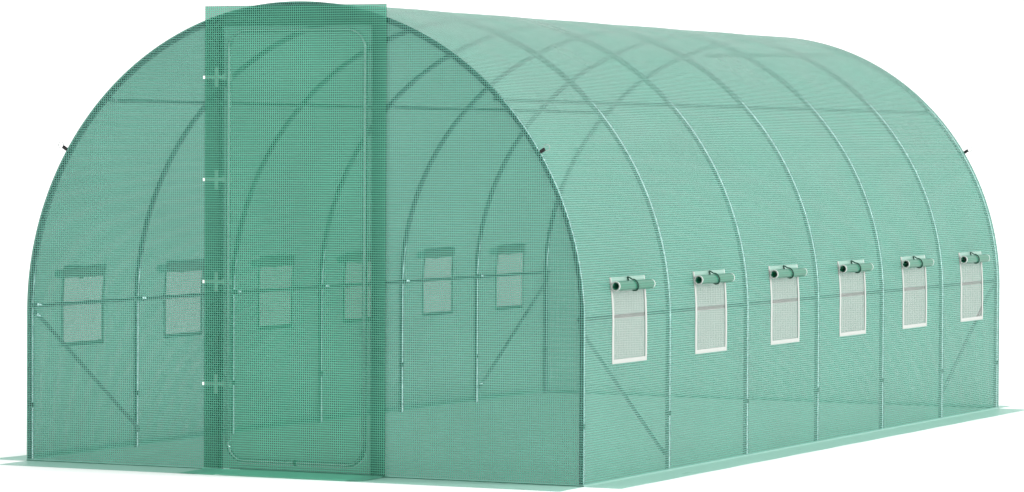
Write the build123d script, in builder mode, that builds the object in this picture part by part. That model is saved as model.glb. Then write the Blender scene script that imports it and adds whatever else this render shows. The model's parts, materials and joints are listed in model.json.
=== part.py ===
# Polytunnel greenhouse: steel hoops under a woven film cover, with a hinged door in the front end.
import math
import os

from build123d import *

os.makedirs("parts", exist_ok=True)

# Driving dimensions, in millimetres and degrees.
# The origin is on the ground in the middle of the tunnel, the door end faces -Y and +X is on the right.
hoop_count = 7
bay_length = 1000
hoop_radius = 1500
leg_height = 740
hoop_tube_diameter = 28
rail_diameter = 20
upper_purlin_angle = 45
lower_rail_height = 770
rail_end_setback = 6
brace_top_drop = 28
brace_foot_height = 85

# Cover film, drawn thicker than it is, and its flat skirt on the ground.
cover_thickness = 3
wall_top_angle = 20
skirt_thickness = 3
side_skirt_width = 190
end_skirt_width = 260

# Windows in the side walls.
window_width = 412
window_bottom = 552
window_top = 958
side_hem = 28
bottom_hem = 20
hem_thickness = 2
net_thickness = 1
net_margin = 10
roll_diameter = 46
roll_length = 440
roll_height = 915
flap_thickness = 2

# Door: a bent tube ring with a film strip on it, hung from the left post.
door_tube_diameter = 25
post_spacing = 834
ring_width = 740
ring_bottom = 50
ring_head_room = 123
ring_corner_radius = 90
doorway_head_gap = 10
strip_width = 978
strip_top_drop = 20
strip_hinge_gap = 20
door_skirt_hinge_gap = 75
door_layer_gap = 2
ground_clearance = 5

# Hinge clips on the left post.
clip_count = 4
clip_first_rise = 366
clip_last_drop = 222
clip_wall = 4
clip_height = 30
clip_thickness = 3
clip_tail_width = 15
clip_tail_overhang = 22
clip_plate_width = 20
clip_plate_height = 95
clip_plate_setback = 8
clip_riser_width = 8

# Tie rings: a webbing tab with a wire ring, sewn into the end seams.
tie_angle = 32.5
tie_tab_length = 20
tie_tab_width = 22
tie_tab_thickness = 5
tie_ring_radius = 13
tie_wire_radius = 1.5

# Clearance between pieces that are seated on each other, and the overrun of cuts.
seat_gap = 0.3
overrun = 20

# Values that follow from the driving dimensions.
hoop_tube_radius = hoop_tube_diameter / 2
door_tube_radius = door_tube_diameter / 2
rail_radius = rail_diameter / 2
roll_radius = roll_diameter / 2
half_length = (hoop_count - 1) * bay_length / 2
hoop_places = [bay_length * k - half_length for k in range(hoop_count)]
bay_centres = [place + bay_length / 2 for place in hoop_places[:-1]]
front_y = hoop_places[0]
back_y = hoop_places[-1]
cover_inner = hoop_tube_radius + seat_gap
cover_outer = cover_inner + cover_thickness
cover_half_width = hoop_radius + cover_outer
cut_reach = 2 * cover_half_width
wall_inner_y = front_y - cover_inner
wall_outer_y = front_y - cover_outer
rail_ring = hoop_radius - hoop_tube_radius - seat_gap - rail_radius
apex = leg_height + hoop_radius
post_x = post_spacing / 2
post_y = front_y - hoop_tube_radius + door_tube_radius
ring_x = ring_width / 2
ring_top = apex - ring_head_room
doorway_half = post_x - door_tube_radius
doorway_top = ring_top + door_tube_radius + doorway_head_gap
strip_half = strip_width / 2
strip_top = apex + cover_outer - strip_top_drop
clip_outer_y = wall_outer_y - seat_gap - clip_thickness
flap_inner_y = clip_outer_y - seat_gap
flap_outer_y = flap_inner_y - cover_thickness
door_inner_y = flap_outer_y - door_layer_gap
door_outer_y = door_inner_y - cover_thickness
ring_y = door_inner_y + seat_gap + door_tube_radius
door_bottom = skirt_thickness + ground_clearance
sides = {"left": -1, "right": 1}


def write(part, name):
    """Label a finished piece and write its STEP file."""
    part.label = name
    export_step(part, f"parts/{name}.step")


def cross_plane(y):
    """The upright plane across the tunnel at y: extruding from it goes towards -Y."""
    return Plane.XZ.offset(-y)


def arch(offset, mode=Mode.ADD):
    """Filled outline of the hoop's line moved out by offset: two legs under a half circle."""
    radius = hoop_radius + offset
    with BuildLine() as outline:
        Polyline((-radius, leg_height), (-radius, 0), (radius, 0), (radius, leg_height))
        ThreePointArc((radius, leg_height), (0, leg_height + radius), (-radius, leg_height))
    make_face(outline.edges(), mode=mode)


def arch_point(radius, angle):
    """Point at an angle above the spring line, on a circle about the arch centre."""
    turn = math.radians(angle)
    return radius * math.cos(turn), leg_height + radius * math.sin(turn)


def keep_wedge(low, high):
    """Keep the part of a cross section between two angles about the arch centre."""
    with BuildLine() as wedge:
        Polyline((0, leg_height), arch_point(cut_reach, low), arch_point(cut_reach, high), close=True)
    make_face(wedge.edges(), mode=Mode.INTERSECT)


def keep_side(side):
    """Keep one side of a cross section, from the ground to the radial line at the wall's top."""
    reach, rise = arch_point(cut_reach, wall_top_angle)
    with BuildLine() as region:
        Polyline((0, 0), (side * cut_reach, 0), (side * reach, rise), (0, leg_height), close=True)
    make_face(region.edges(), mode=Mode.INTERSECT)


def keep_box(low_x, high_x, low_z, high_z):
    """Keep the part of a cross section inside a rectangle."""
    with Locations(((low_x + high_x) / 2, (low_z + high_z) / 2)):
        Rectangle(high_x - low_x, high_z - low_z, mode=Mode.INTERSECT)


def block(low, high, mode=Mode.ADD):
    """Box from its lowest to its highest corner."""
    size = [b - a for a, b in zip(low, high)]
    with Locations(low):
        Box(*size, align=(Align.MIN, Align.MIN, Align.MIN), mode=mode)


# Hoops: each is one bent tube from foot to foot.
for number, place in enumerate(hoop_places, start=1):
    with BuildPart() as hoop:
        with BuildLine(cross_plane(place)):
            Line((-hoop_radius, 0), (-hoop_radius, leg_height))
            ThreePointArc((-hoop_radius, leg_height), (0, apex), (hoop_radius, leg_height))
            Line((hoop_radius, leg_height), (hoop_radius, 0))
        with BuildSketch(Plane.XY):
            with Locations((-hoop_radius, place)):
                Circle(hoop_tube_radius)
        sweep()
    write(hoop.part, f"hoop_{number}")

# Purlins and lower rails: straight tubes that lie inside the hoops for the whole length.
rail_span = 2 * (half_length + hoop_tube_radius - rail_end_setback)
lower_rail_angle = math.degrees(math.asin((lower_rail_height - leg_height) / rail_ring))
for name, side in sides.items():
    for kind, angle in (("upper_purlin", upper_purlin_angle), ("lower_rail", lower_rail_angle)):
        reach, rise = arch_point(rail_ring, angle)
        with BuildPart() as rail:
            with BuildSketch(cross_plane(rail_span / 2)):
                with Locations((side * reach, rise)):
                    Circle(rail_radius)
            extrude(amount=rail_span)
        write(rail.part, f"{kind}_{name}")

# Braces: from high on each end hoop down to the foot of the next one.
brace_top = lower_rail_height - brace_top_drop
brace_ends = {"front": (hoop_places[0], hoop_places[1]), "back": (hoop_places[-1], hoop_places[-2])}
for end, (corner, neighbour) in brace_ends.items():
    for name, side in sides.items():
        with BuildPart() as brace:
            with BuildLine() as run:
                Line((side * rail_ring, corner, brace_top), (side * rail_ring, neighbour, brace_foot_height))
            with BuildSketch(Plane(origin=run.line @ 0, z_dir=run.line % 0)):
                Circle(rail_radius)
            sweep()
        write(brace.part, f"brace_{end}_{name}")

# Door posts: upright tubes from the ground to the front hoop.
post_reach = post_x + door_tube_radius
hoop_inside = hoop_radius - hoop_tube_radius
post_top = leg_height + math.sqrt(hoop_inside ** 2 - post_reach ** 2) - seat_gap
for name, side in sides.items():
    with BuildPart() as post:
        with BuildSketch(Plane.XY):
            with Locations((side * post_x, post_y)):
                Circle(door_tube_radius)
        extrude(amount=post_top)
    write(post.part, f"door_post_{name}")

# Side walls: the cover from the ground to above the windows, with the window holes cut through.
hole_width = window_width - 2 * side_hem
hole_bottom = window_bottom + bottom_hem
hole_top = window_top - bottom_hem
cover_span = back_y - front_y + 2 * cover_inner
for name, side in sides.items():
    with BuildPart() as wall:
        with BuildSketch(cross_plane(back_y + cover_inner)):
            arch(cover_outer)
            arch(cover_inner, mode=Mode.SUBTRACT)
            keep_side(side)
        extrude(amount=cover_span)
        with Locations([(side * cover_half_width, y, (hole_bottom + hole_top) / 2) for y in bay_centres]):
            Box(hoop_radius / 2, hole_width, hole_top - hole_bottom, mode=Mode.SUBTRACT)
    write(wall.part, f"side_wall_{name}")

# Roof: the cover over the hoops in four lengthwise strips, which meet at the purlins and the ridge.
right_angle = 90
half_turn = 2 * right_angle
roof_strips = {
    "right_low": (wall_top_angle, upper_purlin_angle),
    "right_high": (upper_purlin_angle, right_angle),
    "left_high": (right_angle, half_turn - upper_purlin_angle),
    "left_low": (half_turn - upper_purlin_angle, half_turn - wall_top_angle),
}
for name, (low, high) in roof_strips.items():
    with BuildPart() as roof:
        with BuildSketch(cross_plane(back_y + cover_inner)):
            arch(cover_outer)
            arch(cover_inner, mode=Mode.SUBTRACT)
            keep_wedge(low, high)
        extrude(amount=cover_span)
    write(roof.part, f"roof_{name}")

# End walls: flat sheets on the outer hoops. The front one is split round the doorway.
front_panels = {
    "front_wall_left": (-cut_reach, -doorway_half, 0, cut_reach),
    "front_wall_right": (doorway_half, cut_reach, 0, cut_reach),
    "front_wall_top": (-doorway_half, doorway_half, doorway_top, cut_reach),
}
for name, limits in front_panels.items():
    with BuildPart() as panel:
        with BuildSketch(cross_plane(wall_inner_y)):
            arch(cover_outer)
            keep_box(*limits)
        extrude(amount=cover_thickness)
    write(panel.part, name)

with BuildPart() as back_wall:
    with BuildSketch(cross_plane(back_y + cover_outer)):
        arch(cover_outer)
    extrude(amount=cover_thickness)
write(back_wall.part, "back_wall")

# Skirts: flat strips of the cover that lie on the ground outside each wall.
skirt_end_y = wall_outer_y - end_skirt_width
for name, side in sides.items():
    inner, outer = side * cover_half_width, side * (cover_half_width + side_skirt_width)
    with BuildPart() as skirt:
        block((min(inner, outer), wall_outer_y, 0), (max(inner, outer), -wall_outer_y, skirt_thickness))
    write(skirt.part, f"skirt_{name}")

    inner, outer = side * doorway_half, side * cover_half_width
    with BuildPart() as skirt:
        block((min(inner, outer), skirt_end_y, 0), (max(inner, outer), wall_outer_y, skirt_thickness))
    write(skirt.part, f"skirt_front_{name}")

with BuildPart() as skirt:
    block((-cover_half_width, -wall_outer_y, 0), (cover_half_width, -skirt_end_y, skirt_thickness))
write(skirt.part, "skirt_back")

# Windows: a sewn hem round each hole, a net inside it, and the rolled-up flap above.
hem_inner = cover_outer + seat_gap
hem_outer = hem_inner + hem_thickness
flap_inner = hem_outer + seat_gap
flap_outer = flap_inner + flap_thickness
roll_ring = hoop_radius + flap_inner + roll_radius
roll_angle = math.degrees(math.asin((roll_height - leg_height) / roll_ring))
roll_reach, roll_rise = arch_point(roll_ring, roll_angle)
for name, side in sides.items():
    near, far = sorted((side * hoop_radius / 2, side * cut_reach))

    with BuildPart() as hems:
        for y in bay_centres:
            with BuildSketch(cross_plane(y + window_width / 2)):
                arch(hem_outer)
                arch(hem_inner, mode=Mode.SUBTRACT)
                keep_box(near, far, window_bottom, window_top)
            extrude(amount=window_width)
        with Locations([(side * cover_half_width, y, (hole_bottom + hole_top) / 2) for y in bay_centres]):
            Box(hoop_radius / 2, hole_width, hole_top - hole_bottom, mode=Mode.SUBTRACT)
    write(hems.part, f"window_hems_{name}")

    net_width = hole_width + 2 * net_margin
    with BuildPart() as nets:
        for y in bay_centres:
            with BuildSketch(cross_plane(y + net_width / 2)):
                arch(cover_inner - seat_gap)
                arch(cover_inner - seat_gap - net_thickness, mode=Mode.SUBTRACT)
                keep_box(near, far, hole_bottom - net_margin, hole_top + net_margin)
            extrude(amount=net_width)
    write(nets.part, f"window_nets_{name}")

    with BuildPart() as rolls:
        for y in bay_centres:
            with BuildSketch(cross_plane(y + roll_length / 2)):
                with Locations((side * roll_reach, roll_rise)):
                    Circle(roll_radius)
            extrude(amount=roll_length)
            with BuildSketch(cross_plane(y + window_width / 2)):
                arch(flap_outer)
                arch(flap_inner, mode=Mode.SUBTRACT)
                keep_box(near, far, roll_rise, window_top)
            extrude(amount=window_width)
    write(rolls.part, f"window_rolls_{name}")

# Hinge clips: open collars on the left post and round the door ring, with a tail and plate outside the wall.
bore_radius = door_tube_radius + seat_gap
collar_radius = bore_radius + clip_wall
web_angle = math.degrees(math.atan2(ring_y - post_y, post_x - ring_x))
riser_x = -(post_x + ring_x) / 2
plate_x = -post_x - clip_plate_setback
first_clip = ring_bottom + clip_first_rise
clip_spacing = (ring_top - clip_last_drop - first_clip) / (clip_count - 1)
clip_heights = [first_clip + clip_spacing * k for k in range(clip_count)]
with BuildPart() as clips:
    for height in clip_heights:
        with BuildSketch(Plane.XY.offset(height - clip_height / 2)):
            with Locations((-post_x, post_y), (-ring_x, ring_y)):
                Circle(collar_radius)
            with Locations(Location((riser_x, (post_y + ring_y) / 2), web_angle)):
                Rectangle(post_x - ring_x, collar_radius)
            with Locations((-post_x, post_y), (-ring_x, ring_y)):
                Circle(bore_radius, mode=Mode.SUBTRACT)
            with Locations((-post_x, clip_outer_y)):
                Rectangle(post_spacing, overrun, align=(Align.CENTER, Align.MAX), mode=Mode.SUBTRACT)
            with Locations((seat_gap - doorway_half, wall_inner_y + seat_gap)):
                Rectangle(post_spacing, overrun, align=(Align.MAX, Align.MAX), mode=Mode.SUBTRACT)
        extrude(amount=clip_height)
        block(
            (riser_x - clip_riser_width / 2, clip_outer_y, height - clip_tail_width / 2),
            (riser_x + clip_riser_width / 2, (post_y + ring_y) / 2, height + clip_tail_width / 2),
        )
        block(
            (-strip_half - clip_tail_overhang, clip_outer_y, height - clip_tail_width / 2),
            (riser_x, clip_outer_y + clip_thickness, height + clip_tail_width / 2),
        )
        block(
            (plate_x - clip_plate_width, clip_outer_y, height - clip_plate_height / 2),
            (plate_x, clip_outer_y + clip_thickness, height + clip_plate_height / 2),
        )
write(clips.part, "hinge_clips")

# Door: the ring, the strip that covers it, the strip's fixed edge at the hinge and its skirt.
with BuildPart() as ring:
    with BuildLine(cross_plane(ring_y)):
        FilletPolyline(
            (0, ring_bottom),
            (ring_x, ring_bottom),
            (ring_x, ring_top),
            (0, ring_top),
            radius=ring_corner_radius,
        )
    with BuildSketch(Plane.YZ):
        with Locations((ring_y, ring_bottom)):
            Circle(door_tube_radius)
    sweep()
    mirror(about=Plane.YZ)
write(ring.part, "door_ring")

with BuildPart() as strip:
    block((strip_hinge_gap - ring_x, door_outer_y, door_bottom), (strip_half, door_inner_y, strip_top))
write(strip.part, "door_strip")

with BuildPart() as strip_edge:
    block((-strip_half, flap_outer_y, skirt_thickness + seat_gap), (-doorway_half, flap_inner_y, strip_top))
write(strip_edge.part, "door_strip_edge")

with BuildPart() as door_skirt:
    block(
        (door_skirt_hinge_gap - ring_x, skirt_end_y, door_bottom),
        (strip_half, door_outer_y, door_bottom + skirt_thickness),
    )
write(door_skirt.part, "door_skirt")

# Tie rings: a tab in the end seam on each side, and a wire ring that its outer end holds.
tie_start = cover_half_width + seat_gap
tie_ring_reach = tie_start + tie_tab_length + tie_ring_radius - 2 * tie_wire_radius
seam_offset = (cover_inner + cover_outer) / 2
with BuildPart() as ties:
    for y in (front_y - seam_offset, back_y + seam_offset):
        for angle in (tie_angle, half_turn - tie_angle):
            across, up = arch_point(1, angle)
            seam = Plane(origin=(0, y, leg_height), x_dir=(across, 0, up - leg_height), z_dir=(0, -1, 0))
            with BuildSketch(seam):
                with Locations((tie_start + tie_tab_length / 2, 0)):
                    Rectangle(tie_tab_length, tie_tab_width)
            extrude(amount=tie_tab_thickness / 2, both=True)
            with Locations(seam.location):
                with Locations((tie_ring_reach, 0, 0)):
                    Torus(tie_ring_radius, tie_wire_radius)
write(ties.part, "tie_rings")
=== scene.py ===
# %% [markdown]
# # A polytunnel greenhouse
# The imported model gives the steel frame, the door hinge and a plain solid for every sheet of the cover.
# This lesson loads it and dresses it: woven green film over the hoops, netted windows with rolled-up flaps,
# a film door on a bent ring, and galvanised tubes that show dimly through the film.
# Everything is in metres, in the frame's own axes: +Z is up, the door end faces -Y and +X is on the right.

# %% Load the frame
import json
import math

import bpy
import numpy as np
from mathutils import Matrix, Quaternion, Vector

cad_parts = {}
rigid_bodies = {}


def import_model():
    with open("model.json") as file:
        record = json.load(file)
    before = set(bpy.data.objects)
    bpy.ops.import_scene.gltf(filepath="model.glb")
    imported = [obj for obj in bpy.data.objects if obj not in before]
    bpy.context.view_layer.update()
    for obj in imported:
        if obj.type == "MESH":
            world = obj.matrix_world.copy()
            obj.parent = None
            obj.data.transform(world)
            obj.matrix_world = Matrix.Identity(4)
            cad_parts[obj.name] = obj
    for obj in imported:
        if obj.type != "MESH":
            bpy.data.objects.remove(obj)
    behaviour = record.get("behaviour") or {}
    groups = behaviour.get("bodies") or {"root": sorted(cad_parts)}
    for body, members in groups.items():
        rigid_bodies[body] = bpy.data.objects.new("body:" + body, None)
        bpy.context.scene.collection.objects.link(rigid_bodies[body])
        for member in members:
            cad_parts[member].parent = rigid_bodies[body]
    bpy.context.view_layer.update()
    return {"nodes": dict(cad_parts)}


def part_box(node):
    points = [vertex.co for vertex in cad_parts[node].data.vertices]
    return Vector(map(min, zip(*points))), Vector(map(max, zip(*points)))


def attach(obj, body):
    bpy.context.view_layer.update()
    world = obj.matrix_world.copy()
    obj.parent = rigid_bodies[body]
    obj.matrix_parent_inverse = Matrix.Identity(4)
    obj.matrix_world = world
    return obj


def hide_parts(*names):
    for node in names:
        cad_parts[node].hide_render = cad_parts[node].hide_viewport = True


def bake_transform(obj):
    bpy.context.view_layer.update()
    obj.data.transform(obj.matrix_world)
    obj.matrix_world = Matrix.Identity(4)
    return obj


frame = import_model()

# %% [markdown]
# ## Sizes, read from the frame
# A dressed piece has to sit where its solid is, so the main sizes come from the nodes' own boxes.
# A hoop's box gives its tube, its radius and the height where the straight legs turn into the arch.
# The film lies midway between the tube's surface and the outside of the plain wall.


# %% Sizes
def span(node_name):
    """Lowest and highest corner of a node, as two rows of numbers."""
    return np.array([list(corner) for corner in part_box(node_name)])


hoop_boxes = [span(name) for name in sorted(frame["nodes"]) if name.startswith("hoop_")]
hoop_ys = np.array([box[:, 1].mean() for box in hoop_boxes])
bay = hoop_ys[1] - hoop_ys[0]
bay_centres = (hoop_ys[:-1] + hoop_ys[1:]) / 2
tube_radius = np.ptp(hoop_boxes[0][:, 1]) / 2
hoop_radius = hoop_boxes[0][1, 0] - tube_radius
spring_height = hoop_boxes[0][1, 2] - tube_radius - hoop_radius
film_radius = (span("side_wall_right")[1, 0] + hoop_boxes[0][1, 0]) / 2
film_gap = film_radius - hoop_radius
front_y = hoop_ys[0] - film_gap
back_y = hoop_ys[-1] + film_gap
side_skirt = span("skirt_right")[1, 0] - film_radius
end_skirt = front_y - span("skirt_front_left")[0, 1]
ground_film = span("skirt_right")[1, 2] / 2
print(f"hoop radius {hoop_radius:.3f} m on legs of {spring_height:.3f} m, film at {film_radius:.4f} m")

# %% [markdown]
# ## From a grid of numbers to a mesh
# Film, tape and tube are all surfaces with two parameters, so each is worked out as one grid of points.
# `patch` turns such a grid into faces and `piece` makes an object from one or more patches.
# The face's front is the side that (next column) x (next row) points to, by the right-hand rule.

# %% Mesh helpers
SHARP_ANGLE = math.radians(38)


def smooth_step(value):
    """Eases from 0 to 1 as the value goes from 0 to 1."""
    value = np.clip(value, 0, 1)
    return value * value * (3 - 2 * value)


def unit(vectors):
    """Vectors scaled to a length of one."""
    return vectors / np.linalg.norm(vectors, axis=-1, keepdims=True)


def grid_of(*parts):
    """Numbers of any matching shapes, spread over one grid as its last axis."""
    return np.stack(np.broadcast_arrays(*parts), axis=-1)


def marks(low, high, step, exact=()):
    """Grid lines from low to high about a step apart, with a line at every exact place."""
    stops = np.unique(np.round(np.concatenate([[low, high], np.ravel(exact)]), 6))
    fills = [np.linspace(a, b, max(2, int(np.ceil((b - a) / step)) + 1)) for a, b in zip(stops, stops[1:])]
    return np.unique(np.round(np.concatenate(fills), 6))


def patch(points, uv=None, wrap_rows=False, wrap_cols=False, keep=None, caps=False):
    """Faces of grids of points, shaped (..., rows, columns, 3): each quad joins four neighbours in the grid.

    wrap joins the last row or column to the first, keep drops quads, and caps closes the first and last row.
    """
    grid = points.reshape(-1, *points.shape[-3:])
    count, rows, cols = grid.shape[:3]
    index = np.arange(count * rows * cols).reshape(count, rows, cols)
    rings = index
    index = np.concatenate([index, index[:, :1]], axis=1) if wrap_rows else index
    index = np.concatenate([index, index[:, :, :1]], axis=2) if wrap_cols else index
    uv = np.zeros(index.shape + (2,)) if uv is None else np.broadcast_to(uv, index.shape + (2,))
    corners = [(slice(-1), slice(-1)), (slice(-1), slice(1, None)),
               (slice(1, None), slice(1, None)), (slice(1, None), slice(-1))]
    quads = np.stack([index[:, r, c] for r, c in corners], axis=3)
    quad_uv = np.stack([uv[:, r, c] for r, c in corners], axis=3)
    chosen = np.ones(quads.shape[:3], bool) if keep is None else np.broadcast_to(keep, quads.shape[:3])
    faces = [(quads[chosen], quad_uv[chosen])]
    if caps:
        for ring in (rings[:, 0, ::-1], rings[:, -1]):
            faces.append((ring, np.zeros(ring.shape + (2,))))
    return grid.reshape(-1, 3), faces


def piece(name, patches, finish, body="tunnel", replaces=()):
    """One object from patches: its points, faces, UV map in metres, finish, body and material slot."""
    starts = np.cumsum([0] + [len(points) for points, _ in patches])
    faces = [(face + start, uv) for (_, found), start in zip(patches, starts) for face, uv in found]
    loops = np.concatenate([face.ravel() for face, _ in faces])
    sizes = np.concatenate([np.full(len(face), face.shape[1]) for face, _ in faces])
    face_uv = np.concatenate([uv.reshape(-1, 2) for _, uv in faces])
    used, loops = np.unique(loops, return_inverse=True)
    points = np.concatenate([points for points, _ in patches])[used]
    mesh = bpy.data.meshes.new(name)
    mesh.vertices.add(len(points))
    mesh.vertices.foreach_set("co", points.astype(np.float32).ravel())
    mesh.loops.add(len(loops))
    mesh.loops.foreach_set("vertex_index", loops.ravel().astype(np.int32))
    mesh.polygons.add(len(sizes))
    mesh.polygons.foreach_set("loop_start", (np.cumsum(sizes) - sizes).astype(np.int32))
    layer = mesh.uv_layers.new(name="UVMap")
    layer.data.foreach_set("uv", face_uv.astype(np.float32).ravel())
    mesh.materials.append(finish)
    mesh.update(calc_edges=True)
    mesh.validate()
    mesh.polygons.foreach_set("use_smooth", np.ones(len(mesh.polygons), bool))
    mesh.set_sharp_from_angle(angle=SHARP_ANGLE)
    made = bpy.data.objects.new(name, mesh)
    bpy.context.scene.collection.objects.link(made)
    if body:
        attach(made, body)
    if replaces:
        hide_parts(*replaces)
    print(f"{name}: {len(mesh.polygons)} faces")
    return made


def tube(path, across, beside=None, reference=(0, 0, 1), sides=12, closed=False):
    """An oval carried along a path: half width across, square to the reference, and half width beside it.

    path is (..., rows, 3). A ring's point is path + across cos(a) N + beside sin(a) B.
    """
    path = np.asarray(path, float)
    if closed:
        along = unit(np.roll(path, -1, axis=-2) - np.roll(path, 1, axis=-2))
    else:
        along = unit(np.gradient(path, axis=-2))
    normal = unit(np.cross(along, np.asarray(reference, float)))
    binormal = np.cross(along, normal)
    turn = np.linspace(0, 2 * np.pi, sides, endpoint=False)
    beside = across if beside is None else beside
    across = np.broadcast_to(across, path.shape[:-1])[..., None, None]
    beside = np.broadcast_to(beside, path.shape[:-1])[..., None, None]
    rings = (path[..., None, :] + across * np.cos(turn)[:, None] * normal[..., None, :]
             + beside * np.sin(turn)[:, None] * binormal[..., None, :])
    length = np.linalg.norm(np.diff(path, axis=-2), axis=-1).cumsum(-1)
    length = np.concatenate([np.zeros(length.shape[:-1] + (1,)), length], axis=-1)
    if closed:
        length = np.concatenate([length, length[..., -1:] + length[..., 1:2]], axis=-1)
    uv = grid_of(length[..., None], np.linspace(0, 1, sides + 1))
    uv = uv.reshape(-1, *uv.shape[-3:])
    return patch(rings, uv=uv, wrap_rows=closed, wrap_cols=True, caps=not closed)


# %% [markdown]
# ## Camera
# The photograph was taken from the front right with a long lens, a little above the ground.
# The camera's place, turn and lens were worked out from the tunnel's outlines and the feet of the hoops.

# %% Camera
CAMERA_PLACE = (8.789, -18.978, 1.573)
CAMERA_AZIMUTH, CAMERA_ELEVATION, CAMERA_ROLL = 25.594, 1.509, 0.280
CAMERA_LENS, CAMERA_SENSOR, CAMERA_SIGHT = 134.05, 36.0, 200

azimuth, elevation = math.radians(CAMERA_AZIMUTH), math.radians(CAMERA_ELEVATION)
backward = Vector((math.sin(azimuth) * math.cos(elevation), -math.cos(azimuth) * math.cos(elevation),
                   math.sin(elevation)))
camera_data = bpy.data.cameras.new("camera")
camera_data.lens, camera_data.sensor_width, camera_data.clip_end = CAMERA_LENS, CAMERA_SENSOR, CAMERA_SIGHT
camera = bpy.data.objects.new("camera", camera_data)
camera.location = CAMERA_PLACE
camera.rotation_mode = "QUATERNION"
camera.rotation_quaternion = ((-backward).to_track_quat("-Z", "Y")
                              @ Quaternion((0, 0, 1), math.radians(CAMERA_ROLL)))
bpy.context.scene.collection.objects.link(camera)
bpy.context.scene.camera = camera
print("camera at", CAMERA_PLACE)

# %% [markdown]
# ## Colour and nodes
# Colours are written as screen hex values, and one function turns them into the linear light Blender mixes.
# One small function adds a node: its inputs take numbers, colours or another node's output.
# The others are the steps that most finishes share.


# %% Material helpers
def paint(code):
    """Linear colour of an sRGB hex value."""
    screen = np.array([int(code[k:k + 2], 16) for k in (1, 3, 5)]) / 255
    linear = np.where(screen <= 0.04045, screen / 12.92, ((screen + 0.055) / 1.055) ** 2.4)
    return (*linear.tolist(), 1.0)


def node(tree, kind, inputs=None, **settings):
    """Adds a shader node with its settings; inputs are values, or sockets to link, by name or number."""
    made = tree.nodes.new("ShaderNode" + kind)
    for field, value in settings.items():
        setattr(made, field, value)
    for socket, value in (inputs or {}).items():
        if isinstance(value, bpy.types.NodeSocket):
            tree.links.new(value, made.inputs[socket])
        else:
            made.inputs[socket].default_value = value
    return made


def new_finish(name):
    """An empty node material, and its tree."""
    finish = bpy.data.materials.new(name)
    finish.use_nodes = True
    finish.node_tree.nodes.clear()
    return finish, finish.node_tree


def show(tree, inputs):
    """Ends a finish with one face shader."""
    face = node(tree, "BsdfPrincipled", inputs)
    node(tree, "OutputMaterial", {"Surface": face.outputs[0]})


def cloth(tree):
    """A sheet's own two directions, in metres along the cloth."""
    return node(tree, "UVMap", uv_map="UVMap").outputs[0]


def cloth_axes(tree):
    """The same directions as two single numbers."""
    return node(tree, "SeparateXYZ", {0: cloth(tree)}).outputs


def spot(tree):
    """A point's place in the room."""
    return node(tree, "TexCoord").outputs["Object"]


def noise(tree, scale, detail):
    """Cloudy unevenness in the room, from 0 to 1."""
    return node(tree, "TexNoise", {"Vector": spot(tree), "Scale": scale, "Detail": detail}).outputs[0]


def maths(tree, operation, first, second):
    """One sum on two numbers."""
    return node(tree, "Math", {0: first, 1: second}, operation=operation).outputs[0]


def ramp(tree, value, low, high, start=0.0, stop=1.0, ease="LINEAR"):
    """Goes from low to high as the value goes from start to stop."""
    return node(tree, "MapRange", {"Value": value, "From Min": start, "From Max": stop,
                                   "To Min": low, "To Max": high}, interpolation_type=ease).outputs[0]


def mix(tree, share, first, second):
    """A colour between two, each a hex value or a socket."""
    first, second = (paint(tone) if isinstance(tone, str) else tone for tone in (first, second))
    return node(tree, "Mix", {0: share, 6: first, 7: second}, data_type="RGBA").outputs[2]


def relief(tree, height, distance, strength):
    """A raised pattern, as a change of the face's direction."""
    return node(tree, "Bump", {"Height": height, "Distance": distance, "Strength": strength}).outputs[0]


# %% [markdown]
# ## Stage
# A pale floor and a white world keep the light soft, and one long lamp on the right makes the side wall and
# the roof a little lighter than the front. Glossy rays don't see the floor, so the tubes mirror their own
# lamps and not a white ground. A line of sight crosses many sheets of film, so it may pass through many
# faces.

# %% Stage
FLOOR_SIZE = 60.0
KEY_LAMP = ((22.0, 1.0, 9.0), (0.0, 0.0, 1.0), (1.5, 16.0), 3700.0)
WORLD_STRENGTH = 1.35
FACES_IN_SIGHT = 24

floor_paint, tree = new_finish("floor_paint")
shade = node(tree, "TexNoise", {"Scale": 0.6, "Detail": 2.0}).outputs[0]
show(tree, {"Base Color": mix(tree, shade, "#fdfdfc", "#fafbfa"), "Roughness": 0.9})
floor_mesh = bpy.data.meshes.new("floor")
half = FLOOR_SIZE / 2
floor_corners = [(-half, -half, 0), (half, -half, 0), (half, half, 0), (-half, half, 0)]
floor_mesh.from_pydata(floor_corners, [], [(0, 1, 2, 3)])
floor_mesh.materials.append(floor_paint)
floor = bpy.data.objects.new("floor", floor_mesh)
bpy.context.scene.collection.objects.link(floor)
floor.visible_glossy = False

world = bpy.data.worlds.new("soft_white")
world.use_nodes = True
world.node_tree.nodes["Background"].inputs["Color"].default_value = paint("#ffffff")
world.node_tree.nodes["Background"].inputs["Strength"].default_value = WORLD_STRENGTH
bpy.context.scene.world = world


def soft_box(name, place, aim, size, power):
    """A rectangle of light at a place, turned to a point: size is its width and its height."""
    data = bpy.data.lights.new(name, "AREA")
    data.shape, data.energy = "RECTANGLE", power
    data.size, data.size_y = size
    lamp = bpy.data.objects.new(name, data)
    lamp.location = place
    lamp.rotation_mode = "QUATERNION"
    lamp.rotation_quaternion = (Vector(aim) - Vector(place)).to_track_quat("-Z", "Y")
    lamp.visible_camera = False
    bpy.context.scene.collection.objects.link(lamp)
    return lamp


soft_box("key", *KEY_LAMP)
bpy.context.scene.view_settings.view_transform = "Standard"
bpy.context.scene.cycles.transparent_max_bounces = FACES_IN_SIGHT
print("stage ready")

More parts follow.
